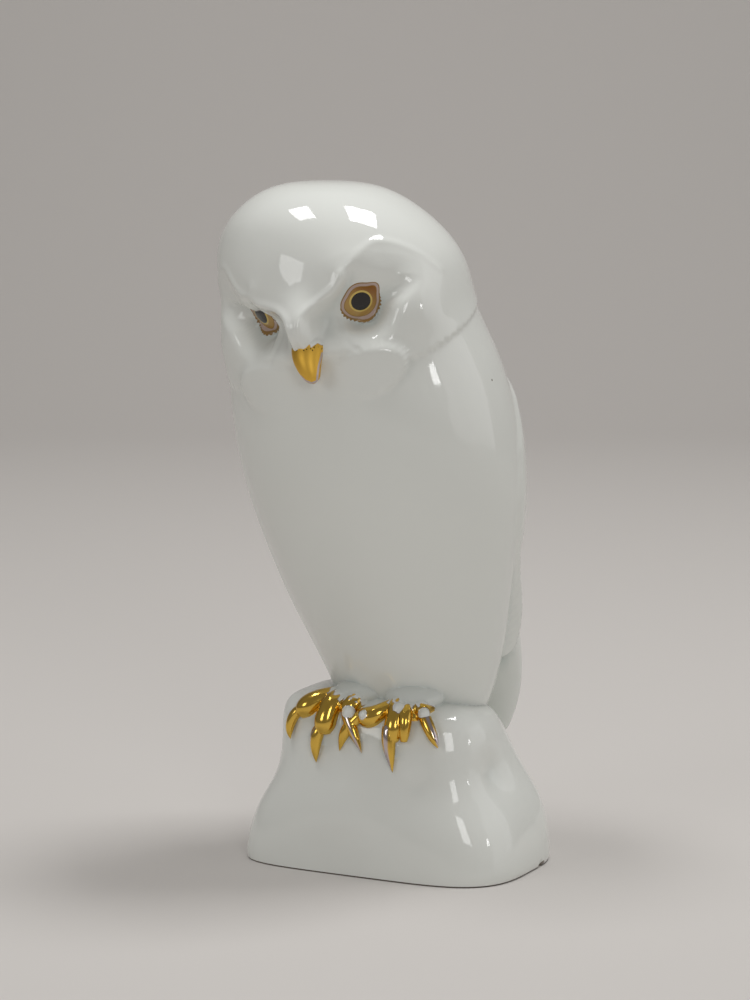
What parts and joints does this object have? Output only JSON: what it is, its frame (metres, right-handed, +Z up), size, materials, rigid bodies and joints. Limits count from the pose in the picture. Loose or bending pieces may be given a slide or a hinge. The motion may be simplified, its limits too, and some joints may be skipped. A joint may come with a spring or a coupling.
{
  "type": "porcelain owl figurine",
  "caption": "Glazed white porcelain owl with bowed head, gilt bill and toes, perched on a smooth rock base; one hollow casting that stands on its flat underside.",
  "frame": {"origin": "middle of the rock's flat underside", "axes": "+Z up through the owl; -Y out of the owl's breast and the rock's front; +X to the owl's left"},
  "size_m": [0.1547, 0.1642, 0.348],
  "materials": {
    "glazed_porcelain": "clear glossy glaze over white hard-paste porcelain; bill, toes and claws gilt, eyes painted"
  },
  "bodies": {
    "root": {"porcelain_owl": "glazed_porcelain"}
  },
  "joints": []
}
